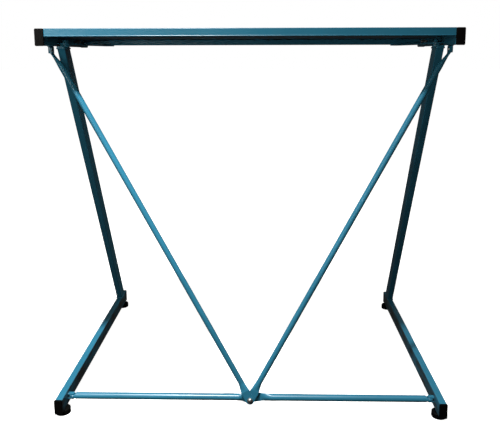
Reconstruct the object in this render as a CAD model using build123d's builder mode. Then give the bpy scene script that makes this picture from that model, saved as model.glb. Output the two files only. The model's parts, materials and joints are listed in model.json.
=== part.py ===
from build123d import *

import os
from math import asin, atan2, cos, degrees, sin

# A folding steel stand for a household machine, in millimetres.
# +X is to the right seen from the front, +Y to the back and +Z up. The origin is on the floor,
# at the middle of the stand's bounding box. Every piece is drawn on the right-hand side,
# and left-hand pieces are its mirror image.
#
# The root is the top frame with the V truss under its front edge. Each side frame is a gate:
# a floor rail, a raking leg and two feet, which turn about a pivot at the leg's top and a hinge
# at the end of the cross bar, and so fold in behind the truss.

# ---- driving dimensions ----
top_width = 780.0
top_height = 783.0
top_depth = 300.0
overall_depth = 640.0

tube_width = 15.0
tube_height = 30.0
tube_wall = 1.5
tube_corner = 2.0
cap_overhang = 0.8
cap_plate = 3.0
cap_plug_length = 13.0

foot_radius = 16.0
foot_height = 12.0
floor_rail_x = 389.8
floor_rail_start = 15.7
front_foot_y = 46.0
rear_foot_y = 620.0

sheet = 1.2
tray_height = 14.8
rear_rail_depth = 30.0
rear_rail_height = 12.0
plate = 2.0

leg_foot_y = 598.0
leg_head_x = 364.6
leg_head_y = 86.2
leg_head_z = 753.0

truss_y = 65.6
strut_radius = 6.0
strut_head_x = 383.6
bar_radius = 7.0
bar_z = 27.0
pipe_wall = 1.4
pin_z = 24.0
eye_radius = 9.0
eye_thickness = 3.0
centre_shank = 4.0

hinge_x = 374.3
hinge_pin = 3.0
knuckle_radius = 7.2
knuckle_half = 2.8
ear_gap = 0.3
ear_thickness = 2.2
ear_radius = 5.0
ear_root = 5.2
ear_sweep = 8.8

pivot_x = 360.0
pivot_y = 86.0
stud_radius = 4.0
end_plate = 4.0
end_plate_drop = 0.9
nose_radius = 6.0

screw_radius = 2.0
close_fit = 0.05
running_fit = 0.06

# ---- levels and places worked out from them ----
front = -overall_depth / 2
rail_top = top_height - cap_overhang
rail_under = rail_top - tube_height
side_rail_x = top_width / 2 - cap_overhang - tube_width / 2
rail_inner_x = side_rail_x - tube_width / 2
floor_rail_top = foot_height + tube_height
floor_rail_z = foot_height + tube_height / 2
floor_rail_end = overall_depth - cap_plate
floor_inner_x = floor_rail_x - tube_width / 2
strap_under = rail_under + plate
rear_rail_under = strap_under + plate
tray_under = rear_rail_under + rear_rail_height
tray_floor = tray_under + sheet
rear_rail_y = front + top_depth - cap_plate - 2.0 - rear_rail_depth / 2
truss = front + truss_y
stack_front = truss - 3.0 - 2 * eye_thickness

pivot = Vector(pivot_x, front + pivot_y, rail_under)
hinge = Vector(hinge_x, truss, bar_z)
gate_axis = (pivot - hinge).normalized()
gate_across = Vector(gate_axis.Z, 0, -gate_axis.X).normalized()
pivot_plane = Plane(origin=pivot, x_dir=gate_across, z_dir=gate_axis)
hinge_plane = Plane(origin=hinge, x_dir=gate_across, z_dir=gate_axis)

leg_foot = Vector(floor_rail_x, front + leg_foot_y, floor_rail_top)
leg_head = Vector(leg_head_x, front + leg_head_y, leg_head_z)
leg_run = leg_head - leg_foot
leg_across = Vector(leg_run.Z, 0, -leg_run.X).normalized()
leg_plane = Plane(origin=leg_foot, x_dir=leg_across, z_dir=leg_run)

strut_run = Vector(strut_head_x, 0, rail_under - pin_z)
strut_dir = strut_run.normalized()
strut_side = Vector(strut_dir.Z, 0, -strut_dir.X)
panel_screw_xs = (-270.0, -90.0, 90.0, 270.0)
strap_width = 18.0
strap_rivet_x = 321.0
strap_rivet_radius = 2.5
strap_bolt_radius = 3.0
strap_bolt_x = 349.5
strap_bolt_y = front + 138.5
strut_rivet_z = 745.2
strut_rivet_radius = 3.0
lug_thickness = 3.0
tab_centre_x = 380.0
tab_thickness = 3.5
tab_width = 16.0
tab_foot = 738.3
tab_top = 751.8
tab_corner = 4.0

centre_middle = (Align.CENTER, Align.CENTER, Align.CENTER)
upright = (Align.CENTER, Align.CENTER, Align.MIN)


def save(builder, name, mirrored=False):
    """Writes a finished piece, or its mirror image in the YZ plane, as one node."""
    piece = mirror(builder.part, about=Plane.YZ) if mirrored else builder.part
    piece.label = name
    export_step(piece, f"parts/{name}.step")


def save_pair(builder, name):
    """Writes a right-hand piece and its left-hand mirror image."""
    save(builder, f"{name}_right")
    save(builder, f"{name}_left", mirrored=True)


def save_both_sides(builder, name):
    """Writes a right-hand piece and its mirror image as one node of separate solids."""
    group = Compound(children=[*builder.part.solids(), *mirror(builder.part, about=Plane.YZ).solids()])
    group.label = name
    export_step(group, f"parts/{name}.step")


def lengthwise(x, y, z, forward=1):
    """A plane across the Y axis, whose normal points to the back, or to the front for -1."""
    return Plane(origin=(x, y, z), x_dir=(forward, 0, 0), z_dir=(0, forward, 0))


def tube_section(width=tube_width, height=tube_height):
    """The section of a rectangular tube, in the sketch that is open."""
    bore_corner = tube_corner - tube_wall + 0.3
    RectangleRounded(width, height, tube_corner)
    RectangleRounded(width - 2 * tube_wall, height - 2 * tube_wall, bore_corner, mode=Mode.SUBTRACT)


def crush(flat_plane, flat_width, flat_thickness, round_plane, radius):
    """The stretch of a round tube between its flattened end and its full section."""
    with BuildSketch(flat_plane) as flat:
        SlotOverall(flat_width, flat_thickness)
    with BuildSketch(round_plane) as full:
        Circle(radius)
    loft(sections=[flat.sketch, full.sketch])


# ---- top frame ----
def side_rail():
    with BuildPart() as rail:
        with BuildSketch(lengthwise(side_rail_x, front + cap_plate, rail_top - tube_height / 2)):
            tube_section()
        extrude(amount=top_depth - 2 * cap_plate)
    save_pair(rail, "top_side_rail")


def end_cap(x, y, z, forward):
    """A moulded cap: a face plate and the hollow plug that holds it in the tube."""
    corner = tube_corner + cap_overhang / 2
    edge_round = 1.0
    plug_width = tube_width - 2 * tube_wall - 2 * close_fit
    plug_height = tube_height - 2 * tube_wall - 2 * close_fit
    plug_wall = 1.5
    with BuildPart() as cap:
        with BuildSketch(lengthwise(x, y, z, forward)):
            RectangleRounded(tube_width + 2 * cap_overhang, tube_height + 2 * cap_overhang, corner)
        extrude(amount=cap_plate)
        outer_face = cap.faces().sort_by(Axis.Y)[0 if forward == 1 else -1]
        fillet(outer_face.edges(), radius=edge_round)
        with BuildSketch(lengthwise(x, y + forward * cap_plate, z, forward)):
            RectangleRounded(plug_width, plug_height, 1.0)
            RectangleRounded(plug_width - 2 * plug_wall, plug_height - 2 * plug_wall, 0.6, mode=Mode.SUBTRACT)
        extrude(amount=cap_plug_length)
    return cap


def rear_rail():
    with BuildPart() as rail:
        with BuildSketch(Plane(origin=(-rail_inner_x, rear_rail_y, rear_rail_under + rear_rail_height / 2),
                               x_dir=(0, 1, 0), z_dir=(1, 0, 0))):
            tube_section(rear_rail_depth, rear_rail_height)
        extrude(amount=2 * rail_inner_x)
        with Locations(*[(x, rear_rail_y, tray_under) for x in panel_screw_xs]):
            Cylinder(screw_radius + close_fit, 2 * tube_wall + 1, align=centre_middle, mode=Mode.SUBTRACT)
        rivet_hole = strap_rivet_radius + close_fit
        with Locations(*[(x, rear_rail_y, rear_rail_under) for x in (-strap_rivet_x, strap_rivet_x)]):
            Cylinder(rivet_hole, 2 * tube_wall + 1, align=centre_middle, mode=Mode.SUBTRACT)
    save(rail, "rear_rail")


def tray():
    """A sheet panel between the side rails, with a folded lip along its front and its rear."""
    middle = front + top_depth / 2
    lip = 2 * sheet
    panel_depth = top_depth - 2 * cap_plate - 2 * lip
    with BuildPart() as panel:
        with BuildSketch(Plane.XY.offset(tray_under)):
            with Locations((0, middle)):
                Rectangle(2 * rail_inner_x, panel_depth)
        extrude(amount=sheet)
        with Locations(*[(x, rear_rail_y, tray_floor) for x in panel_screw_xs]):
            CounterSinkHole(screw_radius + close_fit, screw_radius + sheet + close_fit)
    save(panel, "tray_panel")
    for name, side in (("front_lip", -1), ("rear_lip", 1)):
        with BuildPart() as strip:
            with BuildSketch(Plane(origin=(-rail_inner_x, middle + side * (panel_depth + lip) / 2,
                                           (tray_under + top_height) / 2), x_dir=(0, 1, 0), z_dir=(1, 0, 0))):
                RectangleRounded(lip, tray_height, 0.9)
            extrude(amount=2 * rail_inner_x)
        save(strip, name)


def pan_head_screw(plane, length):
    """A pan-head screw whose head stands on the plane and whose shank goes down through it."""
    with BuildSketch(plane) as head:
        Circle(1.6 * screw_radius)
    extrude(head.sketch, amount=0.8 * screw_radius, taper=12)
    with BuildSketch(plane) as shank:
        Circle(screw_radius)
    extrude(shank.sketch, amount=-length)


def countersunk_shank(plane, radius, head_depth, height):
    """A flush countersunk head in the plane, with its shank along the plane's normal."""
    with Locations(plane.location):
        Cone(radius + head_depth, radius, head_depth, align=upright)
        Cylinder(radius, height, align=upright)


def panel_screws():
    with BuildPart() as screws:
        for x in panel_screw_xs:
            countersunk_shank(Plane(origin=(x, rear_rail_y, tray_floor), z_dir=(0, 0, -1)),
                              screw_radius, sheet, rear_rail_height - 2 * tube_wall)
    save(screws, "panel_screws")


def pivot_bearing():
    """The strap above each leg and the plate on top of it, both drilled for the leg's stud."""
    plate_base = strap_under + plate
    weld_middle = front + 108.0
    weld_length = 56.0
    with BuildPart() as bearing:
        with BuildSketch(Plane.XY.offset(plate_base)):
            with Locations((pivot.X, pivot.Y)):
                Circle(strap_width / 2)
            with Locations((strap_bolt_x, strap_bolt_y)):
                Circle(0.4 * strap_width)
            with Locations((rail_inner_x - 0.5, weld_middle)):
                Rectangle(1.0, weld_length)
            make_hull()
        extrude(amount=plate)
        with BuildSketch(pivot_plane):
            Circle(stud_radius + running_fit)
        extrude(amount=5 * plate, both=True, mode=Mode.SUBTRACT)
        with Locations((strap_bolt_x, strap_bolt_y, plate_base)):
            Cylinder(strap_bolt_radius + close_fit, 4 * plate, align=centre_middle, mode=Mode.SUBTRACT)
    save_pair(bearing, "pivot_plate")

    strap_run = Vector(strap_rivet_x - pivot.X, rear_rail_y - pivot.Y, 0)
    strap_plane = Plane(origin=(pivot.X, pivot.Y, strap_under), x_dir=strap_run, z_dir=(0, 0, 1))
    strap_length = strap_run.length + strap_width / 2
    with BuildPart() as strap:
        with BuildSketch(strap_plane):
            Circle(strap_width / 2)
            Rectangle(strap_length, strap_width, align=(Align.MIN, Align.CENTER))
        extrude(amount=plate)
        with BuildSketch(pivot_plane):
            Circle(stud_radius + running_fit)
        extrude(amount=5 * plate, both=True, mode=Mode.SUBTRACT)
        for x, y, radius in ((strap_bolt_x, strap_bolt_y, strap_bolt_radius),
                             (strap_rivet_x, rear_rail_y, strap_rivet_radius)):
            with Locations(Location((x, y, strap_under), (180, 0, 0))):
                CounterSinkHole(radius + close_fit, radius + plate + close_fit)
    save_pair(strap, "strap")


def strap_fasteners():
    nut_base = strap_under + 2 * plate
    nut_height = 4.4
    nut_across = 10.0
    bolt_height = 2 * plate + nut_height + 1.4
    with BuildPart() as bolt:
        countersunk_shank(Plane(origin=(strap_bolt_x, strap_bolt_y, strap_under)),
                          strap_bolt_radius, plate, bolt_height)
    save_both_sides(bolt, "strap_bolts")
    with BuildPart() as nut:
        with BuildSketch(Plane.XY.offset(nut_base)):
            with Locations((strap_bolt_x, strap_bolt_y)):
                RegularPolygon(nut_across / 2, 6, major_radius=False)
                Circle(strap_bolt_radius + close_fit, mode=Mode.SUBTRACT)
        extrude(amount=nut_height)
    save_both_sides(nut, "strap_nuts")
    with BuildPart() as rivet:
        countersunk_shank(Plane(origin=(strap_rivet_x, rear_rail_y, strap_under)),
                          strap_rivet_radius, plate, plate + tube_wall)
        with Locations((strap_rivet_x, rear_rail_y, rear_rail_under + tube_wall)):
            Cylinder(1.6 * strap_rivet_radius, 1.4, align=upright)
    save_both_sides(rivet, "strap_rivets")


# ---- V truss ----
def strut_lug():
    """The plate under each side rail that the strut's tab is riveted to."""
    inner_face = tab_centre_x + tab_thickness / 2
    lug_plane = Plane(origin=(inner_face, truss, tab_foot), x_dir=(0, 1, 0), z_dir=(1, 0, 0))
    with BuildPart() as lug:
        with BuildSketch(lug_plane) as side:
            Rectangle(tab_width, rail_under - tab_foot, align=(Align.CENTER, Align.MIN))
            fillet(side.vertices().group_by(Axis.Y)[0], radius=tab_corner)
            with Locations((0, strut_rivet_z - tab_foot)):
                Circle(strut_rivet_radius + close_fit, mode=Mode.SUBTRACT)
        extrude(amount=lug_thickness)
    save_pair(lug, "strut_lug")


def strut(layer, name, mirrored):
    """A thin tube, flattened in one plane at the pin and in the other at the lug."""
    flat_end = 22.0
    round_start = 40.0
    tab_crush = 26.0
    bore_stop = 3.0
    round_end = (tab_foot - tab_crush - pin_z) / strut_dir.Z
    pin = Vector(0, truss, pin_z)
    eye_y = stack_front + layer * eye_thickness
    eye_middle = Vector(0, eye_y + eye_thickness / 2, pin_z)
    along = degrees(atan2(strut_dir.Z, strut_dir.X))
    with BuildPart() as pipe:
        with BuildSketch(Plane(origin=(0, eye_y, pin_z), x_dir=(1, 0, 0), z_dir=(0, -1, 0))):
            Circle(eye_radius)
            with Locations(Rotation(0, 0, along)):
                Rectangle(flat_end, 2 * eye_radius, align=(Align.MIN, Align.CENTER))
            Circle(centre_shank + close_fit, mode=Mode.SUBTRACT)
        extrude(amount=-eye_thickness)
        crush(Plane(origin=eye_middle + strut_dir * flat_end, x_dir=strut_side, z_dir=strut_dir),
              2 * eye_radius, eye_thickness,
              Plane(origin=pin + strut_dir * round_start, x_dir=strut_side, z_dir=strut_dir), strut_radius)
        with BuildSketch(Plane(origin=pin + strut_dir * round_start, x_dir=strut_side, z_dir=strut_dir)):
            Circle(strut_radius)
        extrude(amount=round_end - round_start)
        crush(Plane(origin=(tab_centre_x, truss, tab_foot), x_dir=(0, 1, 0), z_dir=(0, 0, 1)),
              tab_width, tab_thickness,
              Plane(origin=pin + strut_dir * round_end, x_dir=(0, 1, 0), z_dir=strut_dir), strut_radius)
        tab_plane = Plane(origin=(tab_centre_x - tab_thickness / 2, truss, tab_foot),
                          x_dir=(0, 1, 0), z_dir=(1, 0, 0))
        with BuildSketch(tab_plane) as tab:
            Rectangle(tab_width, tab_top - tab_foot, align=(Align.CENTER, Align.MIN))
            fillet(tab.vertices().group_by(Axis.Y)[-1], radius=tab_corner)
            with Locations((0, strut_rivet_z - tab_foot)):
                Circle(strut_rivet_radius + close_fit, mode=Mode.SUBTRACT)
        extrude(amount=tab_thickness)
        bore_start = pin + strut_dir * (round_start + bore_stop)
        with BuildSketch(Plane(origin=bore_start, x_dir=strut_side, z_dir=strut_dir)):
            Circle(strut_radius - pipe_wall)
        extrude(amount=round_end - round_start - 2 * bore_stop, mode=Mode.SUBTRACT)
    save(pipe, name, mirrored)


def strut_rivets():
    head = 1.2
    inner_face = tab_centre_x - tab_thickness / 2
    grip = tab_thickness + lug_thickness
    with BuildPart() as rivet:
        with BuildSketch(Plane(origin=(inner_face, truss, strut_rivet_z), z_dir=(1, 0, 0))):
            Circle(strut_rivet_radius)
        extrude(amount=grip)
        for x, outward in ((inner_face, -1), (inner_face + grip, 1)):
            with BuildSketch(Plane(origin=(x, truss, strut_rivet_z), z_dir=(outward, 0, 0))):
                Circle(1.55 * strut_rivet_radius)
            extrude(amount=head, taper=30)
    save_both_sides(rivet, "strut_rivets")


def cross_bar(layer, name, flat_start, round_start, mirrored):
    """Half of the cross bar: flattened at the centre, coped to its hinge knuckle outside."""
    eye_y = stack_front + layer * eye_thickness
    hinge_solid = 20.0
    bar_end = hinge.X - 2.3
    bore_stop = 3.0
    with BuildPart() as bar:
        with BuildSketch(Plane(origin=(0, eye_y, 0), x_dir=(1, 0, 0), z_dir=(0, -1, 0))):
            with Locations((0, pin_z)):
                Circle(eye_radius)
            with Locations((flat_start, bar_z)):
                Rectangle(1.0, 2 * eye_radius, align=(Align.MAX, Align.CENTER))
            make_hull()
            with Locations((0, pin_z)):
                Circle(centre_shank + close_fit, mode=Mode.SUBTRACT)
        extrude(amount=-eye_thickness)
        crush(Plane(origin=(flat_start, eye_y + eye_thickness / 2, bar_z), x_dir=(0, 0, 1), z_dir=(1, 0, 0)),
              2 * eye_radius, eye_thickness,
              Plane(origin=(round_start, truss, bar_z), x_dir=(0, 0, 1), z_dir=(1, 0, 0)), bar_radius)
        with BuildSketch(Plane(origin=(round_start, truss, bar_z), x_dir=(0, 0, 1), z_dir=(1, 0, 0))):
            Circle(bar_radius)
        extrude(amount=bar_end - round_start)
        bore_start = round_start + bore_stop
        with BuildSketch(Plane(origin=(bore_start, truss, bar_z), x_dir=(0, 0, 1), z_dir=(1, 0, 0))):
            Circle(bar_radius - pipe_wall)
        extrude(amount=hinge.X - hinge_solid - bore_start, mode=Mode.SUBTRACT)
        with BuildSketch(hinge_plane):
            Circle(knuckle_radius)
        extrude(amount=2 * bar_radius, both=True, mode=Mode.SUBTRACT)
        for way in (1, -1):
            with BuildSketch(hinge_plane.offset(way * knuckle_half)):
                Circle(ear_sweep)
            extrude(amount=way * 2 * bar_radius, mode=Mode.SUBTRACT)
    save(bar, name, mirrored)


def bar_knuckle():
    with BuildPart() as knuckle:
        with BuildSketch(hinge_plane.offset(-knuckle_half)):
            Circle(knuckle_radius)
            Circle(hinge_pin + running_fit, mode=Mode.SUBTRACT)
        extrude(amount=2 * knuckle_half)
        chamfer(knuckle.edges().filter_by(GeomType.CIRCLE).group_by(SortBy.RADIUS)[-1], length=0.5)
    save_pair(knuckle, "bar_knuckle")


def centre_fasteners():
    washer = 1.0
    rear_head = 2.4
    stack_back = stack_front + 4 * eye_thickness
    dome_radius = 4.9
    dome_height = 3.4
    ball = (dome_radius ** 2 + dome_height ** 2) / (2 * dome_height)
    dome_base = -(stack_front - washer)
    tail = -(stack_back + washer)
    tail_radius = 1.5 * centre_shank
    dome_middle = dome_base + dome_height - ball
    half_angle = asin(dome_radius / ball) / 2
    with BuildPart() as rivet:
        with BuildSketch(Plane(origin=(0, 0, pin_z), x_dir=(0, -1, 0), z_dir=(0, 0, 1))):
            with BuildLine():
                dome = ThreePointArc((dome_base + dome_height, 0),
                                     (dome_middle + ball * cos(half_angle), ball * sin(half_angle)),
                                     (dome_base, dome_radius))
                Polyline(dome @ 1, (dome_base, centre_shank), (tail, centre_shank), (tail, tail_radius),
                         (tail - rear_head, tail_radius - 0.8), (tail - rear_head, 0), dome @ 0)
            make_face()
        revolve(axis=Axis((0, 0, pin_z), (0, 1, 0)))
    save(rivet, "centre_rivet")
    for name, y, radius in (("centre_washer_front", stack_front - washer, 6.2),
                            ("centre_washer_rear", stack_back, 8.0)):
        with BuildPart() as ring:
            with BuildSketch(lengthwise(0, y, pin_z)):
                Circle(radius)
                Circle(centre_shank + close_fit, mode=Mode.SUBTRACT)
            extrude(amount=washer)
        save(ring, name)


# ---- side frames ----
def leg():
    beyond = 80.0
    with BuildPart() as tube:
        with BuildSketch(leg_plane.offset(-beyond)):
            tube_section()
        extrude(amount=leg_run.length + 2 * beyond)
        split(bisect_by=Plane.XY.offset(floor_rail_top), keep=Keep.TOP)
        split(bisect_by=pivot_plane.offset(-end_plate_drop - end_plate), keep=Keep.BOTTOM)
    save_pair(tube, "leg")


def floor_rail():
    start = front + floor_rail_start + cap_plate
    with BuildPart() as rail:
        with BuildSketch(lengthwise(floor_rail_x, start, floor_rail_z)):
            tube_section()
        extrude(amount=front + floor_rail_end - start)
        with Locations(*[(floor_rail_x, front + y, foot_height) for y in (front_foot_y, rear_foot_y)]):
            Cylinder(screw_radius + close_fit, 4 * tube_wall, align=centre_middle, mode=Mode.SUBTRACT)
    save_pair(rail, "floor_rail")


def feet():
    bore = 5.0
    recess = 6.0
    for name, y in (("front_foot", front + front_foot_y), ("rear_foot", front + rear_foot_y)):
        with BuildPart() as foot:
            with Locations((floor_rail_x, y, 0)):
                Cylinder(foot_radius, foot_height, align=upright)
            fillet(foot.faces().sort_by(Axis.Z)[-1].edges(), radius=3.0)
            fillet(foot.faces().sort_by(Axis.Z)[0].edges(), radius=1.5)
            with Locations((floor_rail_x, y, 0)):
                Cylinder(bore, recess, align=upright, mode=Mode.SUBTRACT)
                Cylinder(screw_radius + close_fit, foot_height, align=upright, mode=Mode.SUBTRACT)
        save_pair(foot, name)
    for name, mirrored in (("foot_screws_right", False), ("foot_screws_left", True)):
        with BuildPart() as screws:
            for y in (front + front_foot_y, front + rear_foot_y):
                pan_head_screw(Plane(origin=(floor_rail_x, y, recess), z_dir=(0, 0, -1)), foot_height)
        save(screws, name, mirrored)


def leg_end_plate():
    """The plate on the leg's upper end, square to the pivot, whose nose carries the stud."""
    level = rail_under - end_plate_drop - end_plate / 2
    share = (leg_head.Z - level) / leg_run.Z
    middle = leg_head - leg_run * share
    footprint = tube_height * leg_run.length / leg_run.Z
    margin = 0.6
    with BuildPart() as nose:
        with BuildSketch(pivot_plane.offset(-end_plate_drop - end_plate)):
            Circle(nose_radius)
            with Locations((middle.X - pivot.X, middle.Y - pivot.Y)):
                RectangleRounded(tube_width + margin, footprint + margin, tube_corner)
            make_hull()
        extrude(amount=end_plate)
        with BuildSketch(pivot_plane):
            Circle(stud_radius + close_fit)
        extrude(amount=-3 * end_plate, mode=Mode.SUBTRACT)
    save_pair(nose, "leg_end_plate")


def pivot_fittings():
    washer = end_plate_drop + plate - 0.6
    washer_radius = 10.0
    nut_base = 3 * plate + 0.4
    nut_height = 4.6
    nut_across = 12.0
    stud_top = nut_base + nut_height + 1.4
    with BuildPart() as stud:
        with BuildSketch(pivot_plane.offset(-end_plate_drop - end_plate)):
            Circle(stud_radius)
        extrude(amount=end_plate_drop + end_plate + stud_top)
        chamfer(stud.edges().filter_by(GeomType.CIRCLE).sort_by(Axis.Z)[-1], length=0.6)
    save_pair(stud, "pivot_stud")
    with BuildPart() as ring:
        with BuildSketch(pivot_plane.offset(-end_plate_drop)):
            Circle(washer_radius)
            Circle(stud_radius + close_fit, mode=Mode.SUBTRACT)
        extrude(amount=washer)
    save_pair(ring, "pivot_washer")
    with BuildPart() as nut:
        with BuildSketch(pivot_plane.offset(nut_base)):
            RegularPolygon(nut_across / 2, 6, major_radius=False)
            Circle(stud_radius + close_fit, mode=Mode.SUBTRACT)
        extrude(amount=nut_height)
    save_pair(nut, "pivot_nut")


def hinge_ears():
    """Two leaves welded to the floor rail, above and below the knuckle."""
    inner_level = knuckle_half + ear_gap
    root_start = 7.0
    for name, level in (("hinge_upper_ear", inner_level), ("hinge_lower_ear", -inner_level - ear_thickness)):
        with BuildPart() as ear:
            with BuildSketch(hinge_plane.offset(level)):
                Circle(ear_radius)
                with Locations((root_start, 0)):
                    Rectangle(5.0, 2 * ear_root, align=(Align.MIN, Align.CENTER))
                make_hull()
                Circle(hinge_pin + close_fit, mode=Mode.SUBTRACT)
            extrude(amount=ear_thickness)
            split(bisect_by=Plane.YZ.offset(floor_inner_x), keep=Keep.BOTTOM)
        save_pair(ear, name)


def hinge_pin_piece():
    head = 0.6
    reach = knuckle_half + ear_gap + ear_thickness
    with BuildPart() as pin:
        with BuildSketch(hinge_plane.offset(-reach)):
            Circle(hinge_pin)
        extrude(amount=2 * reach)
        for level, way in ((reach, 1), (-reach, -1)):
            with BuildSketch(hinge_plane.offset(level)):
                Circle(1.5 * hinge_pin)
            extrude(amount=way * head)
    save_pair(pin, "hinge_pin")


os.makedirs("parts", exist_ok=True)

side_rail()
rear_rail()
tray()
panel_screws()
save_pair(end_cap(side_rail_x, front, rail_top - tube_height / 2, 1), "top_front_cap")
save_pair(end_cap(side_rail_x, front + top_depth, rail_top - tube_height / 2, -1), "top_rear_cap")
pivot_bearing()
strap_fasteners()
strut_lug()
strut(0, "strut_left", mirrored=True)
strut(1, "strut_right", mirrored=False)
strut_rivets()
cross_bar(2, "cross_bar_left", 13.0, 23.0, mirrored=True)
cross_bar(3, "cross_bar_right", 22.0, 45.0, mirrored=False)
bar_knuckle()
centre_fasteners()
leg()
floor_rail()
save_pair(end_cap(floor_rail_x, front + floor_rail_start, floor_rail_z, 1), "floor_front_cap")
save_pair(end_cap(floor_rail_x, front + overall_depth, floor_rail_z, -1), "floor_rear_cap")
feet()
leg_end_plate()
pivot_fittings()
hinge_ears()
hinge_pin_piece()
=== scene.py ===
"""The looks of the folding machine stand: its enamel, plastic and zinc, its welds and its fasteners."""

import json
import math

import bpy
from mathutils import Matrix, Vector


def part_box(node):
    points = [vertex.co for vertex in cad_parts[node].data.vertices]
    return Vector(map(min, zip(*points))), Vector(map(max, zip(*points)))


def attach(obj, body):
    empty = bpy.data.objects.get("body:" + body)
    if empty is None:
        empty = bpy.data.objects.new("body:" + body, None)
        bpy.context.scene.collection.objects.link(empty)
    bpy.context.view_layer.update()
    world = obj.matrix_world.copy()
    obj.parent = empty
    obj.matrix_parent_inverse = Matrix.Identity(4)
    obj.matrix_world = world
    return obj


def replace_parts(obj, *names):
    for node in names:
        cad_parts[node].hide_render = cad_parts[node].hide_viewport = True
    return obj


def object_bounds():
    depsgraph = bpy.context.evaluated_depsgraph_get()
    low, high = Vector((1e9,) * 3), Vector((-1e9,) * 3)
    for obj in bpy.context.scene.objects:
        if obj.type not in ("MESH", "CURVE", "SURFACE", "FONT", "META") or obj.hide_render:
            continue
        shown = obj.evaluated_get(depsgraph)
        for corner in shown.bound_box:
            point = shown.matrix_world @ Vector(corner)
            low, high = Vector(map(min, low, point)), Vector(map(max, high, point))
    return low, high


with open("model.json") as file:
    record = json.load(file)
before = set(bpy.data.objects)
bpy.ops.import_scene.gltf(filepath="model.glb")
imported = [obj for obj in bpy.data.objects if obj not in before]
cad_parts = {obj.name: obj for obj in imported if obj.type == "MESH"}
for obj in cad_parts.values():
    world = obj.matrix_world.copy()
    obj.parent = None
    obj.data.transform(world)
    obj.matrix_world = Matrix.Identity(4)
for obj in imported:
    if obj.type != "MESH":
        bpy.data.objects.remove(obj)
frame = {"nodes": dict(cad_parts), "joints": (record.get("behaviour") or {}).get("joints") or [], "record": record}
cad_low, cad_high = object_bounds()

# ---- camera ----
CAMERA_PLACE = Vector((0.0298, -1.1848, 0.7354))  # from the floor at the middle of the stand's front
CAMERA_YAW = math.radians(-1.321)
CAMERA_PITCH = math.radians(9.594)
CAMERA_ROLL = math.radians(-0.128)
CAMERA_LENS = 46.38
CAMERA_SHIFT_Y = -0.1162

UP = Vector((0, 0, 1))
SIDES = {"left": -1, "right": 1}  # the sign of X on each side

BEAD_STEP = 0.00042  # between the rings of a rippled weld bead
ROD_STEP = 0.004  # between the rings of a plain rod
WELD_RADIUS = {"leg_foot": 0.0015, "leg_head": 0.0014, "rear_rail": 0.0013, "tray_tack": 0.0012,
               "strut_lug": 0.0012, "pivot_plate": 0.0014, "hinge_ear": 0.0006}
TUBE_CORNER = 0.002
NEAR_LEVEL = 0.0012  # a leg's vertices this near to a level count as being at it
THREAD_HEIGHT = 0.0019
THREAD_PITCH = 0.0009
THREAD_SUNK = 0.0016  # how far below a bolt's end its shown thread starts


# ---- nodes ----
def add(tree, kind, inputs=None, **settings):
    """A shader node, with its settings, and its inputs as numbers or as links."""
    made = tree.nodes.new(kind)
    for name, value in settings.items():
        setattr(made, name, value)
    for name, value in (inputs or {}).items():
        if isinstance(value, bpy.types.NodeSocket):
            tree.links.new(value, made.inputs[name])
        else:
            made.inputs[name].default_value = value
    return made


def math_node(tree, operation, first, second=0.0, clamp=False):
    """One step of arithmetic on numbers or links."""
    inputs = {0: first, 1: second}
    return add(tree, "ShaderNodeMath", inputs, operation=operation, use_clamp=clamp).outputs[0]


def times(tree, first, second, clamp=False):
    """The product of two numbers or links."""
    return math_node(tree, "MULTIPLY", first, second, clamp)


def ramp(tree, value, low, high, to_low=0.0, to_high=1.0):
    """Value taken from low..high to to_low..to_high, and held there outside."""
    inputs = {"Value": value, "From Min": low, "From Max": high, "To Min": to_low, "To Max": to_high}
    return add(tree, "ShaderNodeMapRange", inputs, interpolation_type="SMOOTHSTEP").outputs["Result"]


def mix_colour(tree, share, first, second):
    """The first colour, with a share of the second in place of it."""
    inputs = {"Factor": share, 6: first, 7: second}  # 6 and 7 are the node's two colour inputs
    return add(tree, "ShaderNodeMix", inputs, data_type="RGBA", blend_type="MIX").outputs[2]


def grain(tree, place, scale, detail, stretch=(1, 1, 1)):
    """Noise of so many blobs to the metre, drawn out along the axes whose stretch is above 1."""
    mapping = add(tree, "ShaderNodeMapping", {"Vector": place, "Scale": [1 / s for s in stretch]})
    inputs = {"Vector": mapping.outputs[0], "Scale": scale, "Detail": detail, "Roughness": 0.5}
    return add(tree, "ShaderNodeTexNoise", inputs).outputs["Fac"]


def new_material(name):
    """A material, its node tree, its shader and the place on the surface."""
    material = bpy.data.materials.new(name)
    material.use_nodes = True
    tree = material.node_tree
    shader = tree.nodes["Principled BSDF"]
    place = add(tree, "ShaderNodeTexCoord").outputs["Object"]
    return material, tree, shader, place


def edge_mask(tree, radius):
    """1 on the outer edges and inner corners, 0 on the flats."""
    rounded = add(tree, "ShaderNodeBevel", {"Radius": radius}, samples=6).outputs[0]
    normal = add(tree, "ShaderNodeNewGeometry").outputs["Normal"]
    both = {0: rounded, 1: normal}
    alike = add(tree, "ShaderNodeVectorMath", both, operation="DOT_PRODUCT").outputs["Value"]
    return ramp(tree, alike, 0.995, 0.86)


def bump(tree, height, strength, distance, normal=None):
    """A normal tilted by a height, on top of another such normal where one is given."""
    inputs = {"Height": height, "Strength": strength, "Distance": distance}
    if normal is not None:
        inputs["Normal"] = normal
    return add(tree, "ShaderNodeBump", inputs).outputs[0]


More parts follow.
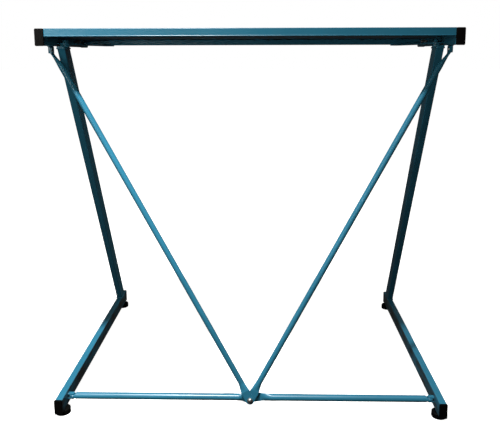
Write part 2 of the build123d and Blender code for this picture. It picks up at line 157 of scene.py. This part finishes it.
def inner_side_patches(tree, place):
    """Brownish patches low on the sides of the floor rails that face each other."""
    normal = add(tree, "ShaderNodeSeparateXYZ", {0: add(tree, "ShaderNodeNewGeometry").outputs["Normal"]})
    where = add(tree, "ShaderNodeSeparateXYZ", {0: place})
    outward = times(tree, normal.outputs["X"], math_node(tree, "SIGN", where.outputs["X"]))
    facing = ramp(tree, outward, -0.5, -0.9)
    low = ramp(tree, where.outputs["Z"], 0.046, 0.040)
    patches = ramp(tree, grain(tree, place, 60.0, 5.0, stretch=(1, 4, 1)), 0.35, 0.62, 0.25, 0.9)
    return times(tree, times(tree, facing, low), patches)


# ---- materials ----
def enamel(name, colour, wear):
    """Glossy baked enamel over steel, with orange peel, chipped edges, and brown grime mixed with painted shade in
    its crevices.
    """
    material, tree, shader, place = new_material(name)
    bare = (0.055, 0.05, 0.045, 1)
    # brown grime colour, also used as painted shade in the crevices
    grime_and_shade_colour = (0.05, 0.045, 0.03, 1)
    # the brown of the patches low on the floor rails' inward-facing sides
    inner_side_brown = (0.045, 0.040, 0.030, 1)
    dark = (*[c * 0.45 for c in colour], 1)
    pale = (*[min(1.0, c * 1.7 + 0.03) for c in colour], 1)
    cloud = ramp(tree, grain(tree, place, 7.0, 3.0), 0.3, 0.7, 0.9, 1.08)
    tone = add(tree, "ShaderNodeHueSaturation", {"Value": cloud, "Color": (*colour, 1)}).outputs[0]
    speckle = ramp(tree, grain(tree, place, 420.0, 2.0), 0.62, 0.74, 0.0, 0.16)
    tone = mix_colour(tree, speckle, tone, dark)
    # Painted shade with grime: ambient occlusion lays the brown colour into corners and recesses, where shade
    # falls; the same mask roughens them.
    crevice = add(tree, "ShaderNodeAmbientOcclusion", {"Distance": 0.012}, samples=8, only_local=False)
    smear = grain(tree, place, 45.0, 4.0)
    crevice_grime_and_shade = times(tree, ramp(tree, crevice.outputs["AO"], 0.75, 0.25), ramp(tree, smear, 0.4, 0.65))
    tone = mix_colour(tree, times(tree, crevice_grime_and_shade, 0.55), tone, grime_and_shade_colour)
    # Brownish patches low on the floor rails' inward-facing sides.
    tone = mix_colour(tree, inner_side_patches(tree, place), tone, inner_side_brown)
    edges = edge_mask(tree, 0.0011)
    chip_noise = grain(tree, place, 240.0, 4.0)
    chips = times(tree, edges, ramp(tree, chip_noise, 0.67 - wear, 0.70 - wear), clamp=True)
    scratch_noise = grain(tree, place, 900.0, 1.0, stretch=(30, 2, 6))
    scratches = ramp(tree, scratch_noise, 0.73, 0.78, 0.0, 0.35)
    tone = mix_colour(tree, scratches, tone, pale)
    shader_colour = mix_colour(tree, chips, tone, bare)
    gloss = ramp(tree, grain(tree, place, 26.0, 3.0), 0.3, 0.7, 0.30, 0.40)
    gloss = math_node(tree, "ADD", gloss, times(tree, chips, 0.35))
    gloss = math_node(tree, "ADD", gloss, times(tree, crevice_grime_and_shade, 0.25), clamp=True)
    peel = bump(tree, grain(tree, place, 520.0, 1.5), 0.22, 0.0004)
    chipped = bump(tree, math_node(tree, "SUBTRACT", 1.0, chips), 0.4, 0.0003, peel)
    tree.links.new(shader_colour, shader.inputs["Base Color"])
    tree.links.new(gloss, shader.inputs["Roughness"])
    tree.links.new(chipped, shader.inputs["Normal"])
    shader.inputs["Coat Weight"].default_value = 0.6
    shader.inputs["Coat Roughness"].default_value = 0.3
    return material


def black_moulding(name, colour, pebble, roughness):
    """Moulded black plastic or rubber: a fine pebble, scuffed edges and a film of dust."""
    material, tree, shader, place = new_material(name)
    scuff = times(tree, edge_mask(tree, 0.0012), ramp(tree, grain(tree, place, 160.0, 4.0), 0.5, 0.66))
    dust = ramp(tree, grain(tree, place, 38.0, 5.0), 0.45, 0.75, 0.0, 0.5)
    dusty = (*[c * 1.6 + 0.0015 for c in colour], 1)
    tone = mix_colour(tree, dust, (*colour, 1), dusty)
    tone = mix_colour(tree, times(tree, scuff, 0.5), tone, (0.035, 0.033, 0.030, 1))
    worn = ramp(tree, grain(tree, place, 70.0, 3.0), 0.3, 0.7, roughness - 0.07, roughness + 0.1)
    tree.links.new(tone, shader.inputs["Base Color"])
    tree.links.new(worn, shader.inputs["Roughness"])
    tree.links.new(bump(tree, grain(tree, place, pebble, 2.0), 0.35, 0.0003), shader.inputs["Normal"])
    shader.inputs["Specular IOR Level"].default_value = 0.1
    return material


def zinc_plate():
    """Bright zinc plate, with a fine pebble, grey bloom and rust on its edges."""
    material, tree, shader, place = new_material("zinc_plate")
    bloom = ramp(tree, grain(tree, place, 180.0, 5.0), 0.42, 0.68)
    rust = times(tree, edge_mask(tree, 0.0006), ramp(tree, grain(tree, place, 420.0, 3.0), 0.55, 0.65))
    tone = mix_colour(tree, bloom, (0.82, 0.82, 0.80, 1), (0.55, 0.55, 0.53, 1))
    tone = mix_colour(tree, times(tree, rust, 0.5), tone, (0.16, 0.09, 0.05, 1))
    tree.links.new(tone, shader.inputs["Base Color"])
    tree.links.new(ramp(tree, bloom, 0.0, 1.0, 0.38, 0.52), shader.inputs["Roughness"])
    tree.links.new(bump(tree, grain(tree, place, 1400.0, 2.0), 0.15, 0.0002), shader.inputs["Normal"])
    shader.inputs["Metallic"].default_value = 1.0
    return material


MATERIALS = {
    "enamel": enamel("enamel", (0.030, 0.215, 0.345), 0.045),
    # Painted shade: the tray has the frame's own teal enamel, given a darker colour so that it looks less lit than
    # the frame.
    "tray_enamel": enamel("tray_enamel", (0.015, 0.125, 0.200), 0.03),
    "black_plastic": black_moulding("black_plastic", (0.002, 0.0018, 0.0018), 1500.0, 0.5),
    "foot_rubber": black_moulding("foot_rubber", (0.002, 0.002, 0.002), 900.0, 0.65),
    "zinc": zinc_plate(),
}

SLOT_OF = {row["node"]: row["material_slot"] for row in frame["record"]["subparts"]}
for node_name, node in frame["nodes"].items():
    node.data.materials.clear()
    node.data.materials.append(MATERIALS[SLOT_OF[node_name]])


# ---- detail pieces ----
def place_piece(name, vertices, faces, slot, body, sharp=math.radians(32)):
    """A detail piece that moves with its body and has its slot's material."""
    mesh = bpy.data.meshes.new(name)
    mesh.from_pydata(vertices, [], faces)
    mesh.validate()
    mesh.update()
    mesh.shade_smooth()
    mesh.set_sharp_from_angle(angle=sharp)
    mesh.materials.append(MATERIALS[slot])
    piece = bpy.data.objects.new(name, mesh)
    bpy.context.scene.collection.objects.link(piece)
    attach(piece, body)
    return piece


def span(points):
    """The lowest and highest corners of the box round some points."""
    low = Vector([min(point[axis] for point in points) for axis in range(3)])
    high = Vector([max(point[axis] for point in points) for axis in range(3)])
    return low, high


def islands(node_name):
    """The lowest and highest corners of each separate solid in a node, from -X to +X."""
    mesh = frame["nodes"][node_name].data
    leader = list(range(len(mesh.vertices)))

    def find(index):
        while leader[index] != index:
            leader[index] = leader[leader[index]]
            index = leader[index]
        return index

    for edge in mesh.edges:
        leader[find(edge.vertices[0])] = find(edge.vertices[1])
    groups = {}
    for vertex in mesh.vertices:
        groups.setdefault(find(vertex.index), []).append(vertex.co)
    return sorted(map(span, groups.values()), key=lambda box: (box[0].x, box[0].y))


def frame_along(direction):
    """Two directions square to a direction and to each other."""
    helper = UP if abs(direction.dot(UP)) < 0.9 else Vector((1, 0, 0))
    across = direction.cross(helper).normalized()
    return across, direction.cross(across).normalized()


def resample(path, step, closed):
    """Points a step apart along a path of straight stretches."""
    corners = path + [path[0]] if closed else path
    points = []
    for start, end in zip(corners, corners[1:]):
        count = max(1, round((end - start).length / step))
        points.extend(start.lerp(end, index / count) for index in range(count))
    if not closed:
        points.append(corners[-1])
    return points


def round_loop(centre, first, second, half_first, half_second, corner):
    """The corners of a rounded rectangle round a centre, in the plane of two directions."""
    points = []
    for quarter in range(4):
        sign_first = 1 if quarter in (0, 3) else -1
        sign_second = 1 if quarter in (0, 1) else -1
        for step in range(5):
            angle = math.radians(90 * quarter + 22.5 * step)
            along_first = sign_first * (half_first - corner) + corner * math.cos(angle)
            along_second = sign_second * (half_second - corner) + corner * math.sin(angle)
            points.append(centre + first * along_first + second * along_second)
    return points


def bead(name, path, radius, body, slot="enamel", closed=False, ripple=0.16, pitch=0.0017):
    """A weld bead or a plain rod along a path: a round section that swells once every pitch."""
    sides = 10
    step = BEAD_STEP if ripple else ROD_STEP
    points = resample(path, step, closed)
    count = len(points)
    travelled = 0.0
    vertices = []
    for index, point in enumerate(points):
        before = points[index - 1] if closed or index else points[0]
        after = points[(index + 1) % count] if closed or index < count - 1 else points[-1]
        direction = (after - before).normalized()
        travelled += (point - points[index - 1]).length if index else 0.0
        across, upward = frame_along(direction)
        swell = 1 + ripple * abs(math.sin(math.pi * travelled / pitch))
        wander = 1 + 0.7 * ripple * math.sin(travelled * 410 + len(name))  # starts elsewhere for each name
        grown = radius * swell * wander
        if not closed:
            share = min(1.0, min(index, count - 1 - index) * step / radius)
            grown *= max(0.05, math.sqrt(share * (2 - share)))
        for side in range(sides):
            angle = 2 * math.pi * side / sides
            vertices.append(point + (across * math.cos(angle) + upward * math.sin(angle)) * grown)
    faces = []
    for ring in range(count if closed else count - 1):
        start = ring * sides
        following = ((ring + 1) % count) * sides
        for side in range(sides):
            beside = (side + 1) % sides
            faces.append((start + side, start + beside, following + beside, following + side))
    if not closed:
        faces.append(tuple(range(sides))[::-1])
        faces.append(tuple(range((count - 1) * sides, count * sides)))
    return place_piece(name, vertices, faces, slot, body, sharp=math.radians(80))


def lathe(place, direction, rings, segments):
    """Vertices and faces of rings about a line, each with a height and a radius for every angle."""
    across, upward = frame_along(direction)
    vertices = []
    for ring in rings:
        for segment in range(segments):
            angle = 2 * math.pi * segment / segments
            height, radius = ring(angle)
            outward = across * math.cos(angle) + upward * math.sin(angle)
            vertices.append(place + direction * height + outward * radius)
    faces = []
    for index in range(len(rings) - 1):
        for segment in range(segments):
            beside = (segment + 1) % segments
            start = index * segments
            following = start + segments
            faces.append((start + segment, start + beside, following + beside, following + segment))
    return vertices, faces


def join(parts):
    """One list of vertices and one of faces out of several pairs of them."""
    vertices = []
    faces = []
    for own_vertices, own_faces in parts:
        faces.extend(tuple(index + len(vertices) for index in face) for face in own_faces)
        vertices.extend(own_vertices)
    return vertices, faces


def hex_nut(place, direction, across, height, bore):
    """A hexagon nut with chamfered corners and a countersunk bore."""
    flat = across / 2
    chamfer_start = 0.96 * flat
    bevel = 0.07 * across

    def corner_radius(angle):
        return flat / math.cos((angle + math.pi / 6) % (math.pi / 3) - math.pi / 6)

    def fall(angle):
        return (corner_radius(angle) - chamfer_start) * math.tan(math.radians(30))

    rings = [
        lambda angle: (bevel, bore),
        lambda angle: (0.0, bore + bevel),
        lambda angle: (0.0, chamfer_start),
        lambda angle: (fall(angle), corner_radius(angle)),
        lambda angle: (height - fall(angle), corner_radius(angle)),
        lambda angle: (height, chamfer_start),
        lambda angle: (height, bore + bevel),
        lambda angle: (height - bevel, bore),
        lambda angle: (bevel, bore),
    ]
    return lathe(place, direction, rings, 72)


def threaded_tip(place, direction, radius, height, pitch):
    """The end of a screw thread: ridges a pitch apart and a coned point."""
    rings = []
    root = 0.88 * radius
    turns = max(1, int(height / pitch))
    for turn in range(turns):
        base = turn * pitch
        rings.append(lambda angle, base=base: (base, root))
        rings.append(lambda angle, base=base: (base + 0.5 * pitch, radius))
    rings.append(lambda angle: (turns * pitch, root))
    rings.append(lambda angle: (height, 0.8 * radius))
    rings.append(lambda angle: (height, 0.0))
    return lathe(place, direction, rings, 36)


def cross_screw(place, direction, radius, dome, sink, shank, length):
    """A screw with a cross recess. Its head faces the direction, and sink is its countersunk depth."""
    reach = 0.62 * radius
    half_slot = 0.17 * radius
    depth = 0.45 * radius

    def top(share):
        def ring(angle):
            distance = share * radius
            nearest = min(abs(math.cos(angle)), abs(math.sin(angle))) * distance
            inside = min(1.0, max(0.0, (half_slot - nearest) / (0.06 * radius) + 0.5))
            end = min(1.0, max(0.0, (reach - distance) / (0.25 * radius) + 0.2))
            return dome * (1 - share ** 2) - depth * inside * end, distance
        return ring

    head_rings = 22
    rings = [top(index / head_rings) for index in range(head_rings + 1)]
    rings.append(lambda angle: (-sink, shank if sink else radius))
    rings.append(lambda angle: (-sink, shank))
    rings.append(lambda angle: (-length, shank))
    rings.append(lambda angle: (-length, 0.0))
    return lathe(place, direction, rings, 96)


def middle_at(low, high, level):
    """The point at a level on the upright line through the middle of a box."""
    return Vector(((low.x + high.x) / 2, (low.y + high.y) / 2, level))


def fold_axis(body):
    """A point on a gate's hinge axis and the axis' upward direction."""
    joint = next(entry for entry in frame["joints"] if entry["child"] == body)
    along = Vector(joint["axis"])
    return Vector(joint["pos_m"]), along if along.z > 0 else -along


def nuts(node_name, body, slot):
    """Chamfered nuts in place of a node's plain ones. Those of a gate lean with its hinge axis."""
    parts = []
    for low, high in islands(node_name):
        across = min(high.x - low.x, high.y - low.y)
        place = middle_at(low, high, low.z)
        direction = UP
        lean = 0.0
        if body != "top_frame":
            foot, direction = fold_axis(body)
            lean = 0.5 * across * direction.xy.length
            place = foot + direction * ((low.z + lean - foot.z) / direction.z)
        parts.append(hex_nut(place, direction, 0.985 * across, high.z - low.z - 2 * lean, 0.3 * across))
    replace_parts(place_piece(node_name + "_chamfered", *join(parts), slot, body), node_name)


def thread_ends(node_name, body, slot, radius):
    """The ends of the threads that stand above the nuts."""
    parts = []
    for low, high in islands(node_name):
        place = middle_at(low, high, high.z - THREAD_SUNK)
        direction = UP
        if body != "top_frame":
            foot, direction = fold_axis(body)
            place = foot + direction * ((place.z - foot.z) / direction.z)
        parts.append(threaded_tip(place, direction, 1.05 * radius, THREAD_HEIGHT, THREAD_PITCH))
    place_piece(node_name + "_thread", *join(parts), slot, body)


def cross_screws(node_name, body, piece_name, direction, dome, sink):
    """Screws with cross recesses in place of a node's plain ones, facing up or down."""
    shank = 0.002
    parts = []
    for low, high in islands(node_name):
        level = high.z if direction.z > 0 else low.z + dome
        radius = (high.x - low.x) / 2
        length = high.z - low.z - dome
        parts.append(cross_screw(middle_at(low, high, level), direction, radius, dome, sink, shank, length))
    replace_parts(place_piece(piece_name, *join(parts), "zinc", body), node_name)


def fasteners():
    """Nuts, threads and cross-headed screws in place of the plain ones."""
    nuts("strap_nuts", "top_frame", "zinc")
    for side in SIDES:
        nuts("pivot_nut_" + side, "gate_" + side, "enamel")
    thread_ends("strap_bolts", "top_frame", "zinc", 0.003)
    for side in SIDES:
        thread_ends("pivot_stud_" + side, "gate_" + side, "enamel", 0.004)
    cross_screws("panel_screws", "top_frame", "panel_cross_screws", UP, 0.0, 0.0012)
    for side in SIDES:
        node_name = "foot_screws_" + side
        cross_screws(node_name, "gate_" + side, node_name + "_cross", -UP, 0.0009, 0.0008)


def leg_welds():
    """Beads round both ends of each leg."""
    for side in SIDES:
        foot_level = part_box("floor_rail_" + side)[1].z
        head_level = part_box("leg_" + side)[1].z
        mesh = frame["nodes"]["leg_" + side].data
        for level, name in ((foot_level, "foot"), (head_level, "head")):
            start, end = span([v.co for v in mesh.vertices if abs(v.co.z - level) < NEAR_LEVEL])
            half = (end - start) / 2
            middle = middle_at(start, end, level)
            loop = round_loop(middle, Vector((1, 0, 0)), Vector((0, 1, 0)), half.x, half.y, TUBE_CORNER)
            radius = WELD_RADIUS["leg_" + name]
            bead(f"leg_{name}_weld_{side}", loop, radius, "gate_" + side, closed=True)


def side_edges(low, high, sign):
    """The X of a box's outer edge and of its inner edge, on the side of the stand with that sign."""
    return (high.x, low.x) if sign > 0 else (low.x, high.x)


def rear_rail_and_tray_welds(side, sign):
    """The bead round the rear rail's end and the short tacks along the tray's edge."""
    rail_low, rail_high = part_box("rear_rail")
    tray_low, tray_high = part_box("tray_panel")
    rail_middle = (rail_low + rail_high) / 2
    rail_half = (rail_high - rail_low) / 2
    end = Vector((sign * (rail_high.x - 0.0002), rail_middle.y, rail_middle.z))
    loop = round_loop(end, Vector((0, 1, 0)), UP, rail_half.y, rail_half.z, TUBE_CORNER)
    bead("rear_rail_weld_" + side, loop, WELD_RADIUS["rear_rail"], "top_frame", closed=True)
    tack_length = 0.012
    for number, share in enumerate((0.08, 0.36, 0.64, 0.9)):
        y = tray_low.y + share * (tray_high.y - tray_low.y)
        x = sign * tray_high.x
        tack = [Vector((x, y, tray_low.z)), Vector((x, y + tack_length, tray_low.z))]
        bead(f"tray_tack_{number}_{side}", tack, WELD_RADIUS["tray_tack"], "top_frame")


def lug_and_plate_welds(side, sign):
    """The beads round the strut lug's top and along the pivot plate's outer edge."""
    low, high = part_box("strut_lug_" + side)
    outer, inner = side_edges(low, high, sign)
    run = [Vector((inner, low.y, high.z)), Vector((outer, low.y, high.z)),
           Vector((outer, high.y, high.z)), Vector((inner, high.y, high.z))]
    bead("lug_weld_" + side, run, WELD_RADIUS["strut_lug"], "top_frame")
    low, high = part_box("pivot_plate_" + side)
    edge = side_edges(low, high, sign)[0]
    run = [Vector((edge, low.y + 0.004, high.z)), Vector((edge, high.y - 0.003, high.z))]
    bead("pivot_plate_weld_" + side, run, WELD_RADIUS["pivot_plate"], "top_frame")


def ear_welds(side, sign):
    """The thin beads where the hinge ears meet the floor rail."""
    for level in ("upper", "lower"):
        low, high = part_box(f"hinge_{level}_ear_{side}")
        edge = side_edges(low, high, sign)[0]
        height = high.z if level == "upper" else low.z
        run = [Vector((edge, low.y + 0.001, height)), Vector((edge, high.y - 0.001, height))]
        bead(f"hinge_{level}_weld_{side}", run, WELD_RADIUS["hinge_ear"], "gate_" + side)


def frame_welds():
    """Beads at the rear rail, the tray, the strut lugs, the pivot plates and the hinge ears."""
    for side, sign in SIDES.items():
        rear_rail_and_tray_welds(side, sign)
        lug_and_plate_welds(side, sign)
        ear_welds(side, sign)


def lip_hem():
    """The rolled bottom edge of the tray's front and rear lips."""
    radius = 0.00115
    end_gap = 0.0004
    for node_name, way in (("front_lip", -1), ("rear_lip", 1)):
        low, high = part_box(node_name)
        y = (low.y if way < 0 else high.y) - way * 0.0006
        height = low.z + 0.0011
        run = [Vector((low.x + end_gap, y, height)), Vector((high.x - end_gap, y, height))]
        bead(node_name + "_hem", run, radius, "top_frame", slot="tray_enamel", ripple=0.0)


fasteners()
leg_welds()
frame_welds()
lip_hem()


# ---- studio ----
def make_camera():
    """A camera in front, a little below the top's height, that looks slightly down."""
    data = bpy.data.cameras.new("camera")
    camera = bpy.data.objects.new("camera", data)
    bpy.context.scene.collection.objects.link(camera)
    data.lens = CAMERA_LENS
    data.sensor_width = 36.0
    data.shift_y = CAMERA_SHIFT_Y
    camera.location = Vector((0, cad_low.y, 0)) + CAMERA_PLACE
    level = Matrix.Rotation(-CAMERA_YAW, 4, "Z") @ Matrix.Rotation(math.pi / 2 - CAMERA_PITCH, 4, "X")
    camera.matrix_world = Matrix.Translation(camera.location) @ level @ Matrix.Rotation(CAMERA_ROLL, 4, "Z")
    bpy.context.scene.camera = camera


def area_light(name, place, target, size, watts, colour):
    """A round light at a place, aimed at a target."""
    data = bpy.data.lights.new(name, "AREA")
    data.shape = "DISK"
    data.size = size
    data.energy = watts
    data.color = colour
    lamp = bpy.data.objects.new(name, data)
    bpy.context.scene.collection.objects.link(lamp)
    lamp.location = place
    lamp.rotation_euler = (Vector(target) - Vector(place)).to_track_quat("-Z", "Y").to_euler()
    return lamp


def make_floor():
    """A wide pale floor that fades into the backdrop."""
    reach = 30.0
    mesh = bpy.data.meshes.new("floor")
    corners = [(-reach, -reach, 0), (reach, -reach, 0), (reach, reach, 0), (-reach, reach, 0)]
    mesh.from_pydata(corners, [], [(0, 1, 2, 3)])
    floor = bpy.data.objects.new("floor", mesh)
    bpy.context.scene.collection.objects.link(floor)
    material = bpy.data.materials.new("pale_floor")
    material.use_nodes = True
    tree = material.node_tree
    shader = tree.nodes["Principled BSDF"]
    shader.inputs["Base Color"].default_value = (0.85, 0.86, 0.86, 1)
    shader.inputs["Roughness"].default_value = 1.0
    shader.inputs["Specular IOR Level"].default_value = 0.0
    shader.inputs["Emission Color"].default_value = (1, 1, 1, 1)
    place = add(tree, "ShaderNodeTexCoord").outputs["Object"]
    distance = add(tree, "ShaderNodeVectorMath", {0: place}, operation="LENGTH").outputs["Value"]
    tree.links.new(ramp(tree, distance, 0.5, 2.2, 0.96, 1.0), shader.inputs["Emission Strength"])
    floor.data.materials.append(material)
    floor.visible_diffuse = False
    floor.visible_glossy = False


def make_world():
    """A white backdrop, and a dim soft room that the enamel is lit by and reflects."""
    world = bpy.data.worlds.new("studio")
    bpy.context.scene.world = world
    world.use_nodes = True
    tree = world.node_tree
    tree.nodes.clear()
    direction = add(tree, "ShaderNodeTexCoord").outputs["Generated"]
    height = add(tree, "ShaderNodeSeparateXYZ", {0: direction}).outputs["Z"]
    side = add(tree, "ShaderNodeSeparateXYZ", {0: direction}).outputs["X"]
    level = ramp(tree, height, -0.15, 0.1, 0.018, 0.04)
    shade = math_node(tree, "MULTIPLY", level, ramp(tree, side, -1.0, 1.0, 1.5, 0.6))
    room = add(tree, "ShaderNodeBackground", {"Color": (1.0, 0.97, 0.92, 1), "Strength": shade})
    backdrop = add(tree, "ShaderNodeBackground", {"Color": (1, 1, 1, 1), "Strength": 1.0})
    seen = add(tree, "ShaderNodeLightPath").outputs["Is Camera Ray"]
    mixed = add(tree, "ShaderNodeMixShader", {0: seen, 1: room.outputs[0], 2: backdrop.outputs[0]})
    add(tree, "ShaderNodeOutputWorld", {"Surface": mixed.outputs[0]})


def make_lights():
    """A small key light high in front, turned to the left, panels beside the camera, and dim fills."""
    front = cad_low.y
    key_place = Vector((-0.33, front - 0.80, 2.25))
    area_light("key", key_place, key_place + Vector((-0.78, 0.22, -0.58)), 0.11, 136.0, (1.0, 0.99, 0.97))
    tall_panels = (("tall_panel", -0.38, 3.0, False), ("tall_glint", -0.85, 1.8, True))
    for name, x, watts, in_reflections in tall_panels:
        place = (x, front - 1.0, 0.80)
        tall = area_light(name, place, (-0.36, front, 0.62), 0.2, watts, (1.0, 0.95, 0.86))
        tall.data.shape = "RECTANGLE"
        tall.data.size_y = 0.55
        tall.visible_glossy = in_reflections
    stand_middle = (0, 0, 0.5)
    for name, place, watts in (("back", (0.7, 2.3, 1.3), 9.0), ("right_side", (2.3, 0.4, 1.1), 7.0)):
        fill = area_light(name, place, stand_middle, 1.2, watts, (1.0, 0.93, 0.82))
        fill.visible_glossy = False


make_camera()
make_floor()
make_world()
make_lights()
bpy.context.scene.view_settings.view_transform = "Standard"
bpy.context.scene.view_settings.look = "None"
